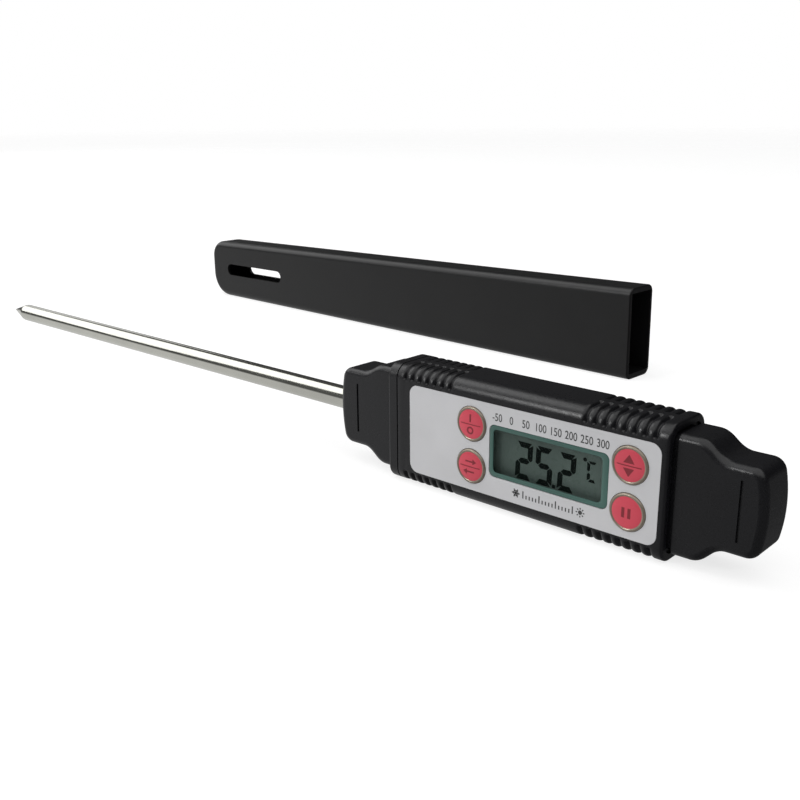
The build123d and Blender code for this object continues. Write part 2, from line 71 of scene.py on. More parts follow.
# The surround: a direction's part along an axis, and the strength that goes with it
SKY_SIDE = (-0.6, -0.55, 0.58)
SKY_SPAN = (-0.6, 0.9)
SKY_LIGHT = (0.015, 0.1)
GROUND_SPAN = (-0.15, -0.8)
GROUND_LIGHT = (0.1, 0.72)
HORIZON_SPAN = (0.04, -0.08)

# The floor, in millimetres: it fades out over shares of its radius
FLOOR_CENTRE = (-30.0, 30.0, -10.0)
FLOOR_RADIUS = 2200
FLOOR_FADE = (0.12, 0.9)
FLOOR_WHITE = 0.34
FLOOR_GLOW = 0.78

# Lights: place and size in metres, power in watts
LIGHTS = (
    ("overhead", (0.2, -0.2, 1.3), (2.4, 2.4), 20.0),
    ("left", (-0.93, -0.2, 0.71), (0.9, 1.1), 5.5),
    ("glint", (-0.5, -0.95, 0.5), (0.3, 0.3), 3.6),
    ("back_left", (-1.1, 0.42, 0.3), (0.5, 0.4), 0.4),
)

# The thermometer, in millimetres in the row frame: +X to the tail, -Y the way the display faces, +Z up.
# First its ribbed sleeve.
SLEEVE_X = (14.85, 63.3)
SLEEVE_HALF_THICKNESS = 5.1
SLEEVE_HALF_HEIGHT = 10.0
SLEEVE_CORNER = 2.4
SLEEVE_CORNER_STEPS = 18
SLEEVE_START_ROUND = 0.15
SLEEVE_END_ROUND = 0.4
SLEEVE_WALL = 1.1
CAVITY_CORNER = 1.4
OPENING_OVERRUN = 0.5
FRONT_Y = -SLEEVE_HALF_THICKNESS

# Its grooves: each run's first place and count, and where they fade out on the faces and narrow sides
GROOVE_PITCH = 1.55
GROOVE_RUNS = ((16.55, 7), (50.3, 8))
GROOVE_SIGMA = 0.27
GROOVE_DEPTH = 0.4
GROOVE_LOOPS = 24
RIB_CROWN = 0.07
GROOVE_START_Z = (7.75, 8.05)
GROOVE_STRIP_Y = (0.45, 0.85)

# The sleeve's skin: points across its narrow sides, and loops between the two runs of grooves
NARROW_SIDE_Y = (2.2, 1.7, 1.3, 1.0, 0.85, 0.7, 0.55, 0.4, 0.0)
MIDDLE_MARGINS = (1.0, 2.0)
MIDDLE_STEPS = 12

# What is let into the sleeve's front: centres and sizes are along X and Z
LABEL_CENTRE = (39.95, -0.1)
LABEL_SIZE = (44.75, 14.85)
LABEL_CORNER = 1.6
LABEL_THICKNESS = 0.25
WINDOW_CENTRE = (44.15, -0.06)
WINDOW_SIZE = (20.8, 8.4)
WINDOW_CORNER = 1.0
WINDOW_GAP = 0.05
PANE_CENTRE = (44.0, -0.02)
PANE_SIZE = (18.95, 6.87)
PANE_CORNER = 0.65
BUTTONS = {
    "on_off": (30.35, 3.35),
    "unit": (30.35, -3.55),
    "max_min": (57.75, 3.35),
    "hold": (57.75, -3.55),
}
BUTTON_HOLE_RADIUS = 2.87
BUTTON_HOLE_FLAT = 0.01
# The window's border from its back to its front edge, then the step in to the pane: inset, place along Y
WINDOW_BORDER = ((0.0, -4.0), (0.0, -5.0), (0.04, -5.05), (0.12, -5.07))
PANE_STEP = ((-0.06, -5.07), (0.0, -5.05), (0.0, -5.02))

# A key: its red dome's radii, then the skirt from the dome's edge to the back: place along Y, radius
DOME_RADII = (0.01, 0.6, 1.1, 1.45, 1.7, 1.9, 2.05, 2.2, 2.34)
DOME_RISE = 0.2
DOME_FRONT_Y = -5.5
KEY_SKIRT = (
    (-5.31, 2.38),
    (-5.37, 2.45),
    (-5.39, 2.53),
    (-5.37, 2.61),
    (-5.31, 2.69),
    (-5.22, 2.76),
    (-5.1, 2.8),
    (-3.95, 2.8),
    (-3.95, 3.05),
    (-3.45, 3.05),
    (-3.45, 1.2),
    (-2.3, 1.2),
)

PROBE_RADIUS = 2.0
PROBE_TIP_X = -122.8
PROBE_SHOULDER_X = -116.6
PROBE_TIP_RADIUS = 0.15
PROBE_SEATED_RADIUS = 1.8
PROBE_END_X = 10.0
# Its skin: a loop nearer the axis than the tip's edge, shares of the cone, and places along the tube
TIP_MIDDLE_RADIUS = 0.06
TIP_BEVEL = 0.08
CONE_SHARES = (0.25, 0.5, 0.75, 0.97)
TUBE_LOOPS_X = (-90.0, -60.0, -30.0, 0.0)

# Numbers printed above the window
SCALE_NUMBERS = ("-50", "0", "50", "100", "150", "200", "250", "300")
SCALE_START_X = 35.2
SCALE_PITCH = 2.6
SCALE_SIZE = 1.75
SCALE_SQUEEZE = 0.8
SCALE_BOLDNESS = 0.012
SCALE_HALF_THICKNESS = 0.004
SCALE_LIFT = 0.006
SCALE_BASE_Z = 4.8

# The rule under the window: ticks between a snow star and a sun
RULE_Z = -5.75
SNOW_X = 38.95
SNOW_ARM = (0.72, 0.1)
SNOW_TWIG = (0.2, 0.08)
SNOW_TWIG_PLACE = 0.4
SUN_X = 50.25
SUN_RADIUS = 0.34
SUN_RAY = (0.14, 0.09)
SUN_RAY_PLACE = 0.6
SUN_RAYS = 8
TICK_STEPS = 15
TICK_INSET = 1.3
TICK_HALF_WIDTH = 0.1
TICK_FOOT = 0.55
TICK_TOP = 0.05
LONG_TICK_TOP = 0.6
LONG_TICK_EVERY = 5

# The display's digits, in a cell that leans towards the tail
GLASS_FRONT_Y = -3.9
DIGIT_WIDTH = 2.98
DIGIT_HEIGHT = 5.94
DIGIT_STROKE = 0.86
DIGIT_GAP = 0.06
DIGIT_SLANT = 0.036
DIGIT_BASE_Z = -3.81
DIGIT_PLACES = ((37.83, "2"), (41.41, "5"), (45.37, "2"))
SEGMENTS_LIT = {"2": "abged", "5": "afgcd"}
SEGMENT_SLOPE = 0.9
TOP_SEGMENT_INSET = 0.18
SIDE_SEGMENT_INSET = 0.2
SIDE_SEGMENT_FOOT = (0.36, 0.3)
MIDDLE_SEGMENT_INSET = 0.42

# The display's other marks: a point, a degree ring, and the strokes of the unit letter
DECIMAL_POINT = (44.56, -3.78, 45.06, -3.26)
DEGREE_MARK = (49.95, 1.95, 0.3)
UNIT_STROKES = (
    ((50.62, 1.88), (51.82, 1.88), (51.56, 1.5), (50.88, 1.5)),
    ((50.34, 1.7), (50.82, 1.38), (50.82, 0.5), (50.58, 0.3), (50.34, 0.5)),
    ((50.36, -0.1), (50.62, 0.1), (50.86, -0.1), (50.86, -0.78), (50.36, -1.06)),
    ((50.6, -1.28), (51.74, -1.28), (51.48, -0.84), (50.9, -0.84)),
)

# How far in front of its surface a print's front and back lie
LABEL_PRINT = (0.012, 0.002)
GLASS_PRINT = (0.03, 0.01)
KEY_PRINT = (0.02, 0.0)

# The keys' symbols about each key's middle: strips (x0, z0, x1, z1), rings (x, z, radius, width), triangles
KEY_LINE = (-1.9, -0.07, 1.9, 0.07)
KEY_STRIPS = {
    "on_off": (KEY_LINE, (-0.15, 0.4, 0.15, 1.6)),
    "unit": (KEY_LINE, (-0.85, 0.72, 0.6, 0.96), (-0.6, -0.96, 0.85, -0.72)),
    "max_min": (KEY_LINE,),
    "hold": ((-0.7, -0.75, -0.25, 0.75), (0.25, -0.75, 0.7, 0.75)),
}
KEY_RINGS = {"on_off": (0.0, -0.98, 0.5, 0.26)}
KEY_TRIANGLES = {
    "unit": (
        ((0.55, 0.4), (1.25, 0.84), (0.55, 1.28)),
        ((-0.55, -0.4), (-1.25, -0.84), (-0.55, -1.28)),
    ),
    "max_min": (
        ((-0.85, 0.38), (0.85, 0.38), (0.0, 1.6)),
        ((-0.85, -0.38), (0.85, -0.38), (0.0, -1.6)),
    ),
}

# How meshes are drawn
LATHE_SEGMENTS = 96
SHARP_ANGLE = math.radians(32)

# Finishes. The noise that drives them is read over its middle span; the display's glass carries a painted
# reflection, darker at the nose end than at the tail end.
NOISE_SPAN = (0.3, 0.7)
DRIFT_MM = 9
LEAST_ROUGHNESS = 0.02
COAT_ROUGHNESS = 0.15
PANE_ALPHA = 0.08
GLASS_PAINTED_REFLECTION = (0.84, 1.06)
# Each one's screen colour, roughness, and what differs from surface()'s own values
FINISHES = {
    "black_case": ((17, 17, 20), 0.32, {"specular": 0.46, "grain_mm": 0.3, "grain_depth_mm": 0.0022}),
    "black_sheath": ((15, 15, 16), 0.37, {"specular": 0.42, "grain_mm": 0.3, "grain_depth_mm": 0.003}),
    "probe_steel": (
        (202, 202, 194),
        0.12,
        {
            "metallic": 1.0,
            "grain_mm": 0.12,
            "grain_depth_mm": 0.0006,
            "stretch": (0.04, 1.0, 1.0),
            "shift": 0.05,
            "rough_shift": 0.04,
        },
    ),
    "silver_label": (
        (200, 200, 202),
        0.42,
        {
            "metallic": 0.25,
            "grain_mm": 0.14,
            "grain_depth_mm": 0.0015,
            "stretch": (0.06, 1.0, 1.0),
            "shift": 0.04,
        },
    ),
    "clear_window": ((40, 52, 48), 0.06, {"specular": 0.15, "grain_mm": 2.0, "grain_depth_mm": 0.001}),
    "lcd": (
        (85, 98, 93),
        0.3,
        {"specular": 0.12, "grain_mm": 0.6, "grain_depth_mm": 0.0005, "shift": 0.05},
    ),
    "red_key": ((192, 62, 78), 0.34, {"grain_mm": 0.3, "grain_depth_mm": 0.003, "shift": 0.06}),
    "white_plastic": ((228, 228, 224), 0.5, {}),
    "switch_black": ((38, 38, 38), 0.5, {}),
    "board_green": ((30, 92, 56), 0.35, {"grain_mm": 0.8, "grain_depth_mm": 0.006, "coat": 0.3}),
    "strip_rubber": ((214, 150, 160), 0.7, {"grain_mm": 0.15, "stretch": (1.0, 0.1, 1.0)}),
    "resin": ((24, 24, 24), 0.2, {"grain_mm": 1.2, "grain_depth_mm": 0.02}),
    "metal_small": ((220, 218, 210), 0.3, {"metallic": 1.0}),
    "chip_body": ((120, 100, 76), 0.6, {}),
    "lead_insulation": ((200, 200, 194), 0.4, {}),
    "cell_steel": ((222, 221, 218), 0.22, {"metallic": 1.0, "grain_depth_mm": 0.001}),
    "window_tint": ((62, 92, 85), 0.2, {"grain_mm": 0.8, "grain_depth_mm": 0.001}),
    "panel_ink": ((62, 62, 62), 0.6, {"grain_mm": 0.05, "grain_depth_mm": 0.001}),
    "display_ink": ((3, 5, 5), 0.6, {"specular": 0.02, "grain_mm": 0.4, "grain_depth_mm": 0.0005}),
    "key_ink": ((122, 26, 38), 0.5, {"grain_mm": 0.05, "grain_depth_mm": 0.001}),
    "key_rim": ((146, 136, 122), 0.34, {"metallic": 0.6, "grain_mm": 1.5, "grain_depth_mm": 0.0004}),
}


def stand_for(piece, node):
    """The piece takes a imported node's place, on the same body."""
    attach(piece, frame["nodes"][node]["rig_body"])
    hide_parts(node)


# Finishes


def node_tree(name):
    """A new material, its nodes and links, and its shader."""
    material = bpy.data.materials.new(name)
    material.use_nodes = True
    nodes, links = material.node_tree.nodes, material.node_tree.links
    shader = nodes["Principled BSDF"]
    return material, nodes, links, shader


def linear(colour):
    """A screen colour, 0 to 255, as linear light."""
    parts = [value / 255 for value in colour]
    return tuple(p / 12.92 if p <= 0.04045 else ((p + 0.055) / 1.055) ** 2.4 for p in parts)


def ramp(nodes, links, source, span, values):
    """A value that goes from the first to the second of values as source goes over span."""
    made = nodes.new("ShaderNodeMapRange")
    made.inputs["From Min"].default_value, made.inputs["From Max"].default_value = span
    made.inputs["To Min"].default_value, made.inputs["To Max"].default_value = values
    links.new(source, made.inputs["Value"])
    return made.outputs["Result"]


def noise(nodes, links, place, size_mm, detail):
    """Noise with features of about a size, over a place."""
    made = nodes.new("ShaderNodeTexNoise")
    made.inputs["Scale"].default_value = 1 / (size_mm * MM)
    made.inputs["Detail"].default_value = detail
    links.new(place, made.inputs["Vector"])
    return made.outputs["Fac"]


def surface(
    name,
    colour,
    roughness,
    metallic=0.0,
    specular=0.5,
    grain_mm=0.25,
    grain_depth_mm=0.004,
    stretch=(1.0, 1.0, 1.0),
    shift=0.12,
    rough_shift=0.06,
    coat=0.0,
):
    """A moulded, drawn or printed surface: fine grain in its relief and gloss, slow drift in its colour."""
    material, nodes, links, shader = node_tree(name)
    shader.inputs["Metallic"].default_value = metallic
    shader.inputs["Specular IOR Level"].default_value = specular
    shader.inputs["Coat Weight"].default_value = coat
    shader.inputs["Coat Roughness"].default_value = COAT_ROUGHNESS
    place = nodes.new("ShaderNodeTexCoord")
    mapping = nodes.new("ShaderNodeMapping")
    mapping.inputs["Scale"].default_value = stretch
    links.new(place.outputs["Object"], mapping.inputs["Vector"])
    grain = noise(nodes, links, mapping.outputs["Vector"], grain_mm, 3.0)
    drift = noise(nodes, links, place.outputs["Object"], DRIFT_MM, 4.0)

    bump = nodes.new("ShaderNodeBump")
    bump.inputs["Distance"].default_value = grain_depth_mm * MM
    links.new(grain, bump.inputs["Height"])
    links.new(bump.outputs["Normal"], shader.inputs["Normal"])

    base = linear(colour)
    tones = nodes.new("ShaderNodeValToRGB")
    for stop, position, factor in zip(tones.color_ramp.elements, NOISE_SPAN, (1 - shift, 1 + shift)):
        stop.position = position
        stop.color = tuple(min(1.0, part * factor) for part in base) + (1.0,)
    links.new(drift, tones.inputs["Fac"])
    links.new(tones.outputs["Color"], shader.inputs["Base Color"])

    gloss = (max(LEAST_ROUGHNESS, roughness - rough_shift), roughness + rough_shift)
    links.new(ramp(nodes, links, grain, NOISE_SPAN, gloss), shader.inputs["Roughness"])
    return material


def thin_out(material):
    """Makes a material thin clear acrylic: nearly all of what is behind it shows, with a faint gloss."""
    material.node_tree.nodes["Principled BSDF"].inputs["Alpha"].default_value = PANE_ALPHA


def paint_glass_reflection(material):
    """Paints a reflection on the display's glass: a little darker at the nose end, lighter towards the
    tail.
    """
    nodes, links = material.node_tree.nodes, material.node_tree.links
    place = nodes.new("ShaderNodeTexCoord")
    split = nodes.new("ShaderNodeSeparateXYZ")
    links.new(place.outputs["Object"], split.inputs["Vector"])
    span = tuple((WINDOW_CENTRE[0] + side * WINDOW_SIZE[0] / 2) * MM for side in (-1, 1))
    scale = nodes.new("ShaderNodeVectorMath")
    scale.operation = "SCALE"
    shader = nodes["Principled BSDF"]
    links.new(shader.inputs["Base Color"].links[0].from_socket, scale.inputs[0])
    # painted reflection: the glass's colour is scaled from darker at the nose end to lighter at the tail
    # end
    links.new(ramp(nodes, links, split.outputs["X"], span, GLASS_PAINTED_REFLECTION), scale.inputs["Scale"])
    links.new(scale.outputs["Vector"], shader.inputs["Base Color"])


def make_finishes():
    """Every finish by name. Those of whole nodes have the record's slot names."""
    made = {name: surface(name, colour, rough, **rest) for name, (colour, rough, rest) in FINISHES.items()}
    thin_out(made["clear_window"])
    paint_glass_reflection(made["lcd"])
    return made


def dress_nodes(finish):
    """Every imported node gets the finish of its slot."""
    slots = {part["node"]: part["material_slot"] for part in frame["record"]["subparts"]}
    for name, node in frame["nodes"].items():
        node.data.materials.clear()
        node.data.materials.append(finish[slots[name]])


# Drawing meshes


def smooth(mesh):
    """Smooth shading, with edges sharper than the sharp angle left sharp."""
    mesh.shade_smooth()
    mesh.set_sharp_from_angle(angle=SHARP_ANGLE)


def to_object(name, bm, materials):
    """A mesh object from a bmesh drawn in millimetres."""
    bmesh.ops.recalc_face_normals(bm, faces=bm.faces)
    mesh = bpy.data.meshes.new(name)
    bm.to_mesh(mesh)
    bm.free()
    mesh.transform(Matrix.Scale(MM, 4))
    for material in materials:
        mesh.materials.append(material)
    smooth(mesh)
    made = bpy.data.objects.new(name, mesh)
    bpy.context.scene.collection.objects.link(made)
    return made


def skin(bm, loops, material_of=lambda step: 0):
    """Quads between loops of points of equal count, each closed on itself, and a face at both ends."""
    rings = [[bm.verts.new(point) for point in loop] for loop in loops]
    count = len(rings[0])
    for step, (near, far) in enumerate(zip(rings, rings[1:])):
        for i in range(count):
            j = (i + 1) % count
            face = bm.faces.new((near[i], near[j], far[j], far[i]))
            face.material_index = material_of(step)
    first, last = bm.faces.new(rings[0]), bm.faces.new(rings[-1])
    first.material_index, last.material_index = material_of(0), material_of(len(loops) - 2)
    return first, last


def solid(name, loops, materials):
    """A closed solid of one skin over loops."""
    bm = bmesh.new()
    skin(bm, loops)
    return to_object(name, bm, materials)


def lathe(name, profile, place, materials, material_of=lambda step: 0):
    """A closed solid of revolution, from (place along the axis, radius). Neither end is on the axis."""
    bm = bmesh.new()
    turns = [math.tau * i / LATHE_SEGMENTS for i in range(LATHE_SEGMENTS)]
    loops = [
        [place(along, radius * math.cos(turn), radius * math.sin(turn)) for turn in turns]
        for along, radius in profile
    ]
    skin(bm, loops, material_of)
    return to_object(name, bm, materials)


def rounded_outline(size, corner, inset=0.0, steps=10):
    """A rectangle with round corners about the origin, as points with the same count for any inset."""
    half = [side / 2 - inset for side in size]
    radius = corner - inset
    points = []
    for quarter, (side_x, side_z) in enumerate(((1, 1), (-1, 1), (-1, -1), (1, -1))):
        for i in range(steps + 1):
            angle = math.pi / 2 * (quarter + i / steps)
            x = side_x * (half[0] - radius) + radius * math.cos(angle)
            z = side_z * (half[1] - radius) + radius * math.sin(angle)
            points.append((x, z))
    return points


def panel_loops(centre, size, corner, levels):
    """Loops for a panel that faces -Y about a centre (x, z), one for each (inset, y)."""
    return [
        [(centre[0] + x, y, centre[1] + z) for x, z in rounded_outline(size, corner, inset)]
        for inset, y in levels
    ]


def cut(piece, cutters):
    """Takes the cutters' shapes out of a piece, for good, and removes them."""
    for cutter in cutters:
        step = piece.modifiers.new(cutter.name, "BOOLEAN")
        step.operation = "DIFFERENCE"
        step.solver = "EXACT"
        step.object = cutter
    evaluated = piece.evaluated_get(bpy.context.evaluated_depsgraph_get())
    old = piece.data
    piece.modifiers.clear()
    piece.data = bpy.data.meshes.new_from_object(evaluated)
    bpy.data.meshes.remove(old)
    for cutter in cutters:
        bpy.data.objects.remove(cutter)
    smooth(piece.data)


# Flat outlines, as lists of (x, z) points


def block(x0, z0, x1, z1):
    """An upright rectangle."""
    return [(x0, z0), (x1, z0), (x1, z1), (x0, z1)]


def disc(x, z, radius, steps=24):
    """A round outline."""
    turns = [math.tau * i / steps for i in range(steps)]
    return [(x + radius * math.cos(turn), z + radius * math.sin(turn)) for turn in turns]


def bar(x, z, half_length, half_width, turn):
    """A straight bar about a centre, turned."""
    along = (math.cos(turn) * half_length, math.sin(turn) * half_length)
    across = (-math.sin(turn) * half_width, math.cos(turn) * half_width)
    ends = ((-1, -1), (1, -1), (1, 1), (-1, 1))
    return [(x + i * along[0] + j * across[0], z + i * along[1] + j * across[1]) for i, j in ends]


def ring_parts(x, z, radius, width, parts=24):
    """A ring as short four-sided pieces."""
    inner, outer = radius - width / 2, radius + width / 2
    pieces = []
    for i in range(parts):
        start, end = (math.tau * (i + k) / parts for k in (0, 1))
        corners = ((inner, start), (outer, start), (outer, end), (inner, end))
        pieces.append([(x + r * math.cos(turn), z + r * math.sin(turn)) for r, turn in corners])
    return pieces


def finer(outline, step=0.2):
    """The same outline with points at most a step apart."""
    points = []
    for (x0, z0), (x1, z1) in zip(outline, outline[1:] + outline[:1]):
        count = max(1, math.ceil(math.hypot(x1 - x0, z1 - z0) / step))
        points += [(x0 + (x1 - x0) * i / count, z0 + (z1 - z0) * i / count) for i in range(count)]
    return points


def flat_print(name, outlines, surface_y, lifts, ink):
    """Outlines printed on a surface that faces -Y, as one thin piece."""
    bm = bmesh.new()
    for outline in outlines:
        skin(bm, [[(x, surface_y - lift, z) for x, z in outline] for lift in lifts])
    return to_object(name, bm, [ink])


# The pieces


def smooth_step(value, low, high):
    """0 below low, 1 above high, and smooth between."""
    t = min(1.0, max(0.0, (value - low) / (high - low)))
    return t * t * (3 - 2 * t)


def sleeve_section():
    """The sleeve's outline as (y, z, outward y, outward z), with points where the grooves begin and end."""
    flat_z = SLEEVE_HALF_HEIGHT - SLEEVE_CORNER
    flat_y = SLEEVE_HALF_THICKNESS - SLEEVE_CORNER
    quarter = [(-SLEEVE_HALF_THICKNESS, flat_z * part, -1.0, 0.0) for part in (0.0, 0.5)]
    for i in range(SLEEVE_CORNER_STEPS + 1):
        angle = math.pi / 2 * i / SLEEVE_CORNER_STEPS
        out_y, out_z = -math.cos(angle), math.sin(angle)
        quarter.append((-flat_y + SLEEVE_CORNER * out_y, flat_z + SLEEVE_CORNER * out_z, out_y, out_z))
    quarter += [(-y, SLEEVE_HALF_HEIGHT, 0.0, 1.0) for y in NARROW_SIDE_Y]
    top = quarter + [(-y, z, -out_y, out_z) for y, z, out_y, out_z in reversed(quarter[:-1])]
    bottom = [(y, -z, out_y, -out_z) for y, z, out_y, out_z in reversed(top[1:-1])]
    return top + bottom


def groove_depth(x, y, z):
    """How far the sleeve's surface lies below its plain outline there."""
    depth = 0.0
    for start, count in GROOVE_RUNS:
        offset = x - start
        nearest = min(count - 1, max(0, round(offset / GROOVE_PITCH)))
        away = offset - nearest * GROOVE_PITCH
        depth += GROOVE_DEPTH * math.exp(-((away / GROOVE_SIGMA) ** 2))
        if abs(away) <= GROOVE_PITCH / 2:
            depth += RIB_CROWN * (0.5 + 0.5 * math.cos(math.tau * away / GROOVE_PITCH))
    edge = smooth_step(abs(z), *GROOVE_START_Z)
    return depth * edge * smooth_step(abs(y), *GROOVE_STRIP_Y)


def sleeve_places():
    """Places along the sleeve where its skin has a loop: close together over the grooves."""
    places = []
    for start, count in GROOVE_RUNS:
        first = start - GROOVE_PITCH / 2
        places += [first + i * GROOVE_PITCH / GROOVE_LOOPS for i in range(GROOVE_LOOPS * count + 1)]
    (left_start, left_count), (right_start, _) = GROOVE_RUNS
    low = left_start + (left_count - 1) * GROOVE_PITCH + MIDDLE_MARGINS[0]
    high = right_start - MIDDLE_MARGINS[1]
    places += [low + (high - low) * i / MIDDLE_STEPS for i in range(MIDDLE_STEPS + 1)]
    return sorted({round(place, 4) for place in places})


def rounded_end(x, inward, radius, steps=5):
    """A rounded end as (x, inset), from the full outline to the end face's edge."""
    turns = [math.pi / 2 * i / steps for i in range(steps + 1)]
    return [(x + inward * radius * (1 - math.sin(turn)), radius * (1 - math.cos(turn))) for turn in turns]


def sleeve_cutters():
    """The sleeve's cavity, and the openings in its front for the label, window and keys."""
    cavity = (2 * (SLEEVE_HALF_THICKNESS - SLEEVE_WALL), 2 * (SLEEVE_HALF_HEIGHT - SLEEVE_WALL))
    outline = rounded_outline(cavity, CAVITY_CORNER)
    loops = [[(x, y, z) for y, z in outline] for x in (SLEEVE_X[0] - 1, SLEEVE_X[1] + 1)]
    cutters = [solid("cavity", loops, [])]
    through_y = SLEEVE_WALL + FRONT_Y + OPENING_OVERRUN
    openings = [
        (LABEL_CENTRE, LABEL_SIZE, LABEL_CORNER, FRONT_Y + LABEL_THICKNESS),
        (WINDOW_CENTRE, WINDOW_SIZE, WINDOW_CORNER, through_y),
    ]
    hole = (2 * BUTTON_HOLE_RADIUS, 2 * BUTTON_HOLE_RADIUS)
    corner = BUTTON_HOLE_RADIUS - BUTTON_HOLE_FLAT
    openings += [(place, hole, corner, through_y) for place in BUTTONS.values()]
    for number, (centre, size, corner, depth_y) in enumerate(openings):
        loops = panel_loops(centre, size, corner, ((0, FRONT_Y - 1), (0, depth_y)))
        cutters.append(solid(f"opening_{number}", loops, []))
    return cutters


def ribbed_sleeve(plastic):
    """The sleeve with rounded grip ribs on its four long edges, its front cut for the panel."""
    section = sleeve_section()
    left = rounded_end(SLEEVE_X[0], 1, SLEEVE_START_ROUND)
    right = rounded_end(SLEEVE_X[1], -1, SLEEVE_END_ROUND)
    loops = []
    for x, inset in left[::-1] + [(x, 0.0) for x in sleeve_places()] + right:
        loop = []
        for y, z, out_y, out_z in section:
            down = inset + groove_depth(x, y, z)
            loop.append((x, y - out_y * down, z - out_z * down))
        loops.append(loop)
    sleeve = solid("ribbed_sleeve", loops, [plastic])
    cut(sleeve, sleeve_cutters())
    stand_for(sleeve, "housing_sleeve")


def polished_probe(steel):
    """The steel probe with its ground point, drawn down where it enters the nose."""
    profile = [(PROBE_TIP_X, TIP_MIDDLE_RADIUS), (PROBE_TIP_X + TIP_BEVEL, PROBE_TIP_RADIUS)]
    flare = PROBE_RADIUS - PROBE_TIP_RADIUS
    length = PROBE_SHOULDER_X - PROBE_TIP_X
    profile += [(PROBE_TIP_X + length * t, PROBE_TIP_RADIUS + flare * t) for t in CONE_SHARES]
    profile += [(PROBE_SHOULDER_X + 0.1, PROBE_RADIUS - 0.01), (PROBE_SHOULDER_X + 0.4, PROBE_RADIUS)]
    profile += [(x, PROBE_RADIUS) for x in TUBE_LOOPS_X]
    profile += [(0.01, PROBE_SEATED_RADIUS), (PROBE_END_X, PROBE_SEATED_RADIUS)]
    probe = lathe("polished_probe", profile, lambda x, y, z: (x, y, z), [steel])
    stand_for(probe, "probe_tube")


def window_piece(tint, clear):
    """The window: a clear pane with a flat tinted border."""
    size = tuple(side - 2 * WINDOW_GAP for side in WINDOW_SIZE)
    loops = panel_loops(WINDOW_CENTRE, size, WINDOW_CORNER, WINDOW_BORDER)
    loops += panel_loops(PANE_CENTRE, PANE_SIZE, PANE_CORNER, PANE_STEP)
    bm = bmesh.new()
    for end in skin(bm, loops):
        end.material_index = 1
    window = to_object("window_piece", bm, [tint, clear])
    stand_for(window, "window_lens")


def segment_outlines():
    """The seven segments of a digit, by letter, in a cell from (0, 0) to its width and height."""
    width, height, stroke, gap = DIGIT_WIDTH, DIGIT_HEIGHT, DIGIT_STROKE, DIGIT_GAP
    half = height / 2
    slope = stroke * SEGMENT_SLOPE
    foot_x, foot_z = SIDE_SEGMENT_FOOT
    top = [
        (TOP_SEGMENT_INSET + gap, height),
        (width - TOP_SEGMENT_INSET - gap, height),
        (width - slope - gap, height - stroke),
        (slope + gap, height - stroke),
    ]
    middle = [
        (MIDDLE_SEGMENT_INSET + gap, half),
        (stroke + gap, half + stroke / 2),
        (width - stroke - gap, half + stroke / 2),
        (width - MIDDLE_SEGMENT_INSET - gap, half),
        (width - stroke - gap, half - stroke / 2),
        (stroke + gap, half - stroke / 2),
    ]
    upper_left = [
        (0, height - SIDE_SEGMENT_INSET - gap),
        (stroke, height - slope - gap),
        (stroke, half + stroke / 2 + gap),
        (foot_x, half + gap),
        (0, half + foot_z + gap),
    ]
    upper_right = [(width - x, z) for x, z in upper_left]
    return {
        "a": top,
        "b": upper_right,
        "c": [(x, height - z) for x, z in upper_right],
        "d": [(x, height - z) for x, z in top],
        "e": [(x, height - z) for x, z in upper_left],
        "f": upper_left,
        "g": middle,
    }


def display_reading(ink):
    """The reading on the display: three digits, a point, and the small unit mark."""
    segments = segment_outlines()
    outlines = []
    for left, digit in DIGIT_PLACES:
        for letter in SEGMENTS_LIT[digit]:
            corners = [(left + x + DIGIT_SLANT * z, DIGIT_BASE_Z + z) for x, z in segments[letter]]
            outlines.append(corners)
    outlines += [block(*DECIMAL_POINT), disc(*DEGREE_MARK), *UNIT_STROKES]
    reading = flat_print("display_reading", outlines, GLASS_FRONT_Y, GLASS_PRINT, ink)
    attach(reading, "base")


def scale_numbers(ink):
    """Plain scale numbers printed above the window, at even steps, as one piece."""
    upright = Matrix.Rotation(math.pi / 2, 4, "X") @ Matrix.Diagonal((SCALE_SQUEEZE, 1.0, 1.0, 1.0))
    bm = bmesh.new()
    for place, number in enumerate(SCALE_NUMBERS):
        curve = bpy.data.curves.new("number", "FONT")
        curve.body = number
        curve.size = SCALE_SIZE
        curve.align_x = "CENTER"
        curve.extrude = SCALE_HALF_THICKNESS
        curve.offset = SCALE_BOLDNESS
        holder = bpy.data.objects.new("number", curve)
        bpy.context.scene.collection.objects.link(holder)
        evaluated = holder.evaluated_get(bpy.context.evaluated_depsgraph_get())
        mesh = bpy.data.meshes.new_from_object(evaluated)
        centre = (SCALE_START_X + SCALE_PITCH * place, FRONT_Y - SCALE_LIFT, SCALE_BASE_Z)
        mesh.transform(Matrix.Translation(centre) @ upright)
        bm.from_mesh(mesh)
        bpy.data.objects.remove(holder)
        bpy.data.meshes.remove(mesh)
    numbers = to_object("scale_numbers", bm, [ink])
    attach(numbers, "base")


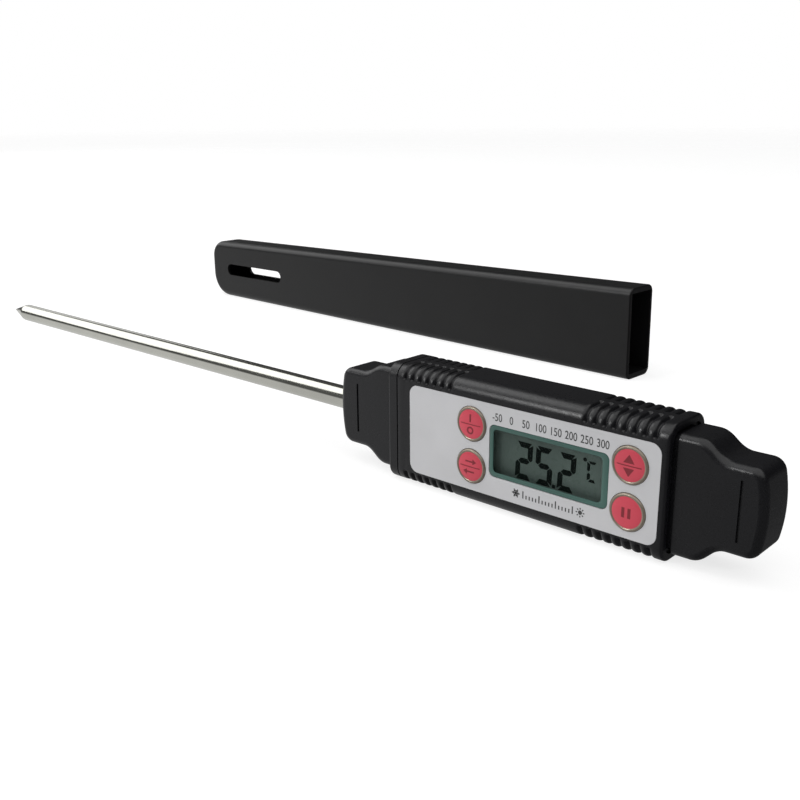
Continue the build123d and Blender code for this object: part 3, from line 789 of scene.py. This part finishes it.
def cold_to_hot(ink):
    """Under the window: a plain rule of ticks between a snow star and a sun."""
    outlines = []
    for i in range(3):
        turn = math.pi * i / 3
        outlines.append(bar(SNOW_X, RULE_Z, *SNOW_ARM, turn))
        for end in (SNOW_TWIG_PLACE, -SNOW_TWIG_PLACE):
            x, z = SNOW_X + end * math.cos(turn), RULE_Z + end * math.sin(turn)
            outlines.append(bar(x, z, *SNOW_TWIG, turn + math.pi / 2))
    outlines.append(disc(SUN_X, RULE_Z, SUN_RADIUS))
    for i in range(SUN_RAYS):
        turn = math.tau * i / SUN_RAYS
        x, z = SUN_X + SUN_RAY_PLACE * math.cos(turn), RULE_Z + SUN_RAY_PLACE * math.sin(turn)
        outlines.append(bar(x, z, *SUN_RAY, turn))
    first, last = SNOW_X + TICK_INSET, SUN_X - TICK_INSET
    for i in range(TICK_STEPS + 1):
        x = first + (last - first) * i / TICK_STEPS
        top = TICK_TOP if i % LONG_TICK_EVERY else LONG_TICK_TOP
        outlines.append(block(x - TICK_HALF_WIDTH, RULE_Z - TICK_FOOT, x + TICK_HALF_WIDTH, RULE_Z + top))
    rule = flat_print("cold_to_hot", outlines, FRONT_Y, LABEL_PRINT, ink)
    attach(rule, "base")


def dome_y(radius):
    """Where a key's red dome lies, at a distance from its middle."""
    return DOME_FRONT_Y + DOME_RISE * (radius / DOME_RADII[-1]) ** 4


def key_cap(name, red, rim):
    """One key: a red dome in a grey shoulder, with the skirt, flange and boss behind."""
    centre_x, centre_z = BUTTONS[name]
    dome = [(dome_y(radius), radius) for radius in DOME_RADII]
    red_steps = len(dome) - 1
    cap = lathe(
        f"{name}_key_cap",
        dome + list(KEY_SKIRT),
        lambda y, x, z: (centre_x + x, y, centre_z + z),
        [red, rim],
        lambda step: 0 if step < red_steps else 1,
    )
    stand_for(cap, f"{name}_button")


def key_mark(name, ink):
    """A key's plain symbol, printed on its dome."""
    shapes = [block(*strip) for strip in KEY_STRIPS[name]]
    if name in KEY_RINGS:
        shapes += ring_parts(*KEY_RINGS[name])
    shapes += KEY_TRIANGLES.get(name, ())
    centre_x, centre_z = BUTTONS[name]
    bm = bmesh.new()
    for shape in shapes:
        points = finer(shape)
        loops = []
        for lift in KEY_PRINT:
            loop = [(centre_x + x, dome_y(math.hypot(x, z)) - lift, centre_z + z) for x, z in points]
            loops.append(loop)
        skin(bm, loops)
    bmesh.ops.triangulate(bm, faces=[face for face in bm.faces if len(face.verts) > 4])
    mark = to_object(f"{name}_mark", bm, [ink])
    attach(mark, f"{name}_key")


# The studio


def blend_values(nodes, links, factor, first, second):
    """Between two values by a factor; the second may be a plain number."""
    mix = nodes.new("ShaderNodeMix")
    mix.data_type = "FLOAT"
    links.new(factor, mix.inputs["Factor"])
    links.new(first, mix.inputs["A"])
    if isinstance(second, float):
        mix.inputs["B"].default_value = second
    else:
        links.new(second, mix.inputs["B"])
    return mix.outputs["Result"]


def surround():
    """White where the camera looks past the floor. Light and reflections find a dim room, paler below."""
    world = bpy.data.worlds.new("surround")
    bpy.context.scene.world = world
    world.use_nodes = True
    nodes, links = world.node_tree.nodes, world.node_tree.links
    place = nodes.new("ShaderNodeTexCoord")
    facing = nodes.new("ShaderNodeVectorMath")
    facing.operation = "DOT_PRODUCT"
    facing.inputs[1].default_value = SKY_SIDE
    links.new(place.outputs["Generated"], facing.inputs[0])
    split = nodes.new("ShaderNodeSeparateXYZ")
    links.new(place.outputs["Generated"], split.inputs["Vector"])
    path = nodes.new("ShaderNodeLightPath")
    sky = ramp(nodes, links, facing.outputs["Value"], SKY_SPAN, SKY_LIGHT)
    ground = ramp(nodes, links, split.outputs["X"], GROUND_SPAN, GROUND_LIGHT)
    below = ramp(nodes, links, split.outputs["Z"], HORIZON_SPAN, (0.0, 1.0))
    room = blend_values(nodes, links, below, sky, ground)
    shown = blend_values(nodes, links, path.outputs["Is Camera Ray"], room, 1.0)
    background = nodes["Background"]
    background.inputs["Color"].default_value = (1.0, 1.0, 1.0, 1.0)
    links.new(shown, background.inputs["Strength"])


def pale_floor():
    """A white floor under the object that fades into the surround."""
    bm = bmesh.new()
    bmesh.ops.create_circle(bm, cap_ends=True, segments=96, radius=FLOOR_RADIUS)
    bmesh.ops.translate(bm, verts=bm.verts, vec=FLOOR_CENTRE)
    white, nodes, links, shader = node_tree("floor")
    shader.inputs["Base Color"].default_value = (FLOOR_WHITE, FLOOR_WHITE, FLOOR_WHITE, 1)
    shader.inputs["Roughness"].default_value = 0.9
    shader.inputs["Specular IOR Level"].default_value = 0.1
    shader.inputs["Emission Color"].default_value = (1, 1, 1, 1)
    shader.inputs["Emission Strength"].default_value = FLOOR_GLOW
    place = nodes.new("ShaderNodeTexCoord")
    length = nodes.new("ShaderNodeVectorMath")
    length.operation = "LENGTH"
    links.new(place.outputs["Object"], length.inputs[0])
    span = tuple(FLOOR_RADIUS * MM * share for share in FLOOR_FADE)
    links.new(ramp(nodes, links, length.outputs["Value"], span, (1.0, 0.0)), shader.inputs["Alpha"])
    floor = to_object("floor", bm, [white])
    floor.visible_glossy = False


def soft_lights():
    """The area lights, each turned to the row frame's origin."""
    for name, place, size, power in LIGHTS:
        data = bpy.data.lights.new(name, "AREA")
        data.shape = "RECTANGLE"
        data.size, data.size_y = size
        data.energy = power
        light = bpy.data.objects.new(name, data)
        light.location = place
        light.rotation_euler = (-Vector(place)).to_track_quat("-Z", "Y").to_euler()
        bpy.context.scene.collection.objects.link(light)


def view_camera():
    """The camera at its place, turned to its azimuth and elevation."""
    lens = bpy.data.cameras.new("camera")
    lens.lens = CAMERA_LENS
    lens.sensor_width = CAMERA_SENSOR
    lens.clip_start = CAMERA_NEAR_M
    camera = bpy.data.objects.new("camera", lens)
    turn = Matrix.Rotation(math.radians(CAMERA_AZIMUTH), 4, "Z")
    tilt = Matrix.Rotation(math.radians(90 - CAMERA_ELEVATION), 4, "X")
    roll = Matrix.Rotation(math.radians(CAMERA_ROLL), 4, "Z")
    camera.matrix_world = Matrix.Translation(Vector(CAMERA_PLACE) * MM) @ turn @ tilt @ roll
    bpy.context.scene.collection.objects.link(camera)
    bpy.context.scene.camera = camera


def studio():
    """The plain pale studio: surround, floor, soft lights, and the camera."""
    bpy.context.scene.view_settings.view_transform = "Standard"
    surround()
    pale_floor()
    soft_lights()
    view_camera()


studio()
finish = make_finishes()
dress_nodes(finish)
ribbed_sleeve(finish["black_case"])
polished_probe(finish["probe_steel"])
window_piece(finish["window_tint"], finish["clear_window"])
display_reading(finish["display_ink"])
scale_numbers(finish["panel_ink"])
cold_to_hot(finish["panel_ink"])
for key in BUTTONS:
    key_cap(key, finish["red_key"], finish["key_rim"])
    key_mark(key, finish["key_ink"])
